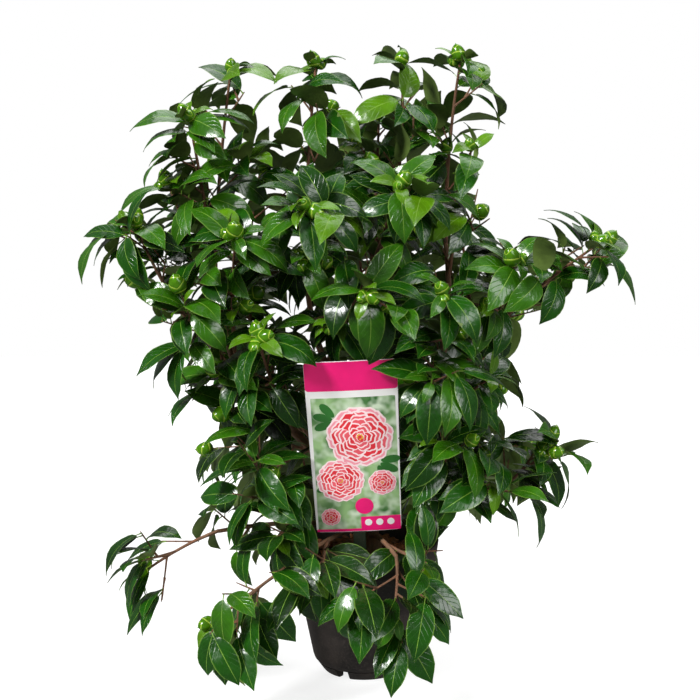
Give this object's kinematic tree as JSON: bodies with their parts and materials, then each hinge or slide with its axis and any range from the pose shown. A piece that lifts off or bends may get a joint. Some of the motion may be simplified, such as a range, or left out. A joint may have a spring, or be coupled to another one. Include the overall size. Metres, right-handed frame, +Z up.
{
  "type": "potted camellia shrub",
  "caption": "Evergreen camellia shrub with glossy pointed leaves and plump flower buds, growing in a filled round nursery pot with a plain card label.",
  "frame": {"origin": "on the ground under the middle of the pot, which is also the middle of the whole plant's box to within 6 mm", "axes": "+Z up; -Y is the front, the side with the label; +X is to the right seen from the front"},
  "size_m": [0.682, 0.5354, 0.7844],
  "materials": {
    "pot": "moulded dark grey plastic, slightly mottled",
    "mulch": "chipped bark over moist potting compost",
    "label": "printed plastic card, glossy",
    "bark": "smooth grey-brown bark",
    "foliage": "glossy evergreen leaves"
  },
  "bodies": {
    "root": {"pot": "pot", "mulch": "mulch", "plant_label": "label", "trunk": "bark", "left_leader": "bark", "left_upper": "bark", "left_arm": "bark", "centre_leader": "bark", "centre_left": "bark", "centre_right": "bark", "right_leader": "bark", "right_upper": "bark", "right_arm": "bark", "left_low": "bark", "right_low": "bark", "front_left": "bark", "front_right": "bark", "back_leader": "bark", "back_left": "bark", "back_right": "bark", "left_crown": "foliage", "left_crown_outer": "foliage", "left_shoulder": "foliage", "left_arm_tip": "foliage", "left_arm_under": "foliage", "left_breast": "foliage", "left_flank": "foliage", "left_front": "foliage", "centre_crown_left": "foliage", "centre_front": "foliage", "centre_crown_right": "foliage", "centre_breast": "foliage", "right_breast": "foliage", "right_crown": "foliage", "right_crown_outer": "foliage", "right_arm_tip": "foliage", "right_arm_upper": "foliage", "right_arm_under": "foliage", "right_flank": "foliage", "right_front": "foliage", "left_low_upper": "foliage", "left_low_inner": "foliage", "left_low_tip": "foliage", "right_low_tip": "foliage", "right_low_under": "foliage", "right_low_inner": "foliage", "front_left_tip": "foliage", "front_left_skirt": "foliage", "front_right_tip": "foliage", "front_right_side": "foliage", "back_crown": "foliage", "back_breast": "foliage", "back_left_crown": "foliage", "back_left_flank": "foliage", "back_right_crown": "foliage", "back_right_flank": "foliage", "back_skirt": "foliage", "back_left_low": "foliage", "back_right_low": "foliage"}
  },
  "joints": []
}
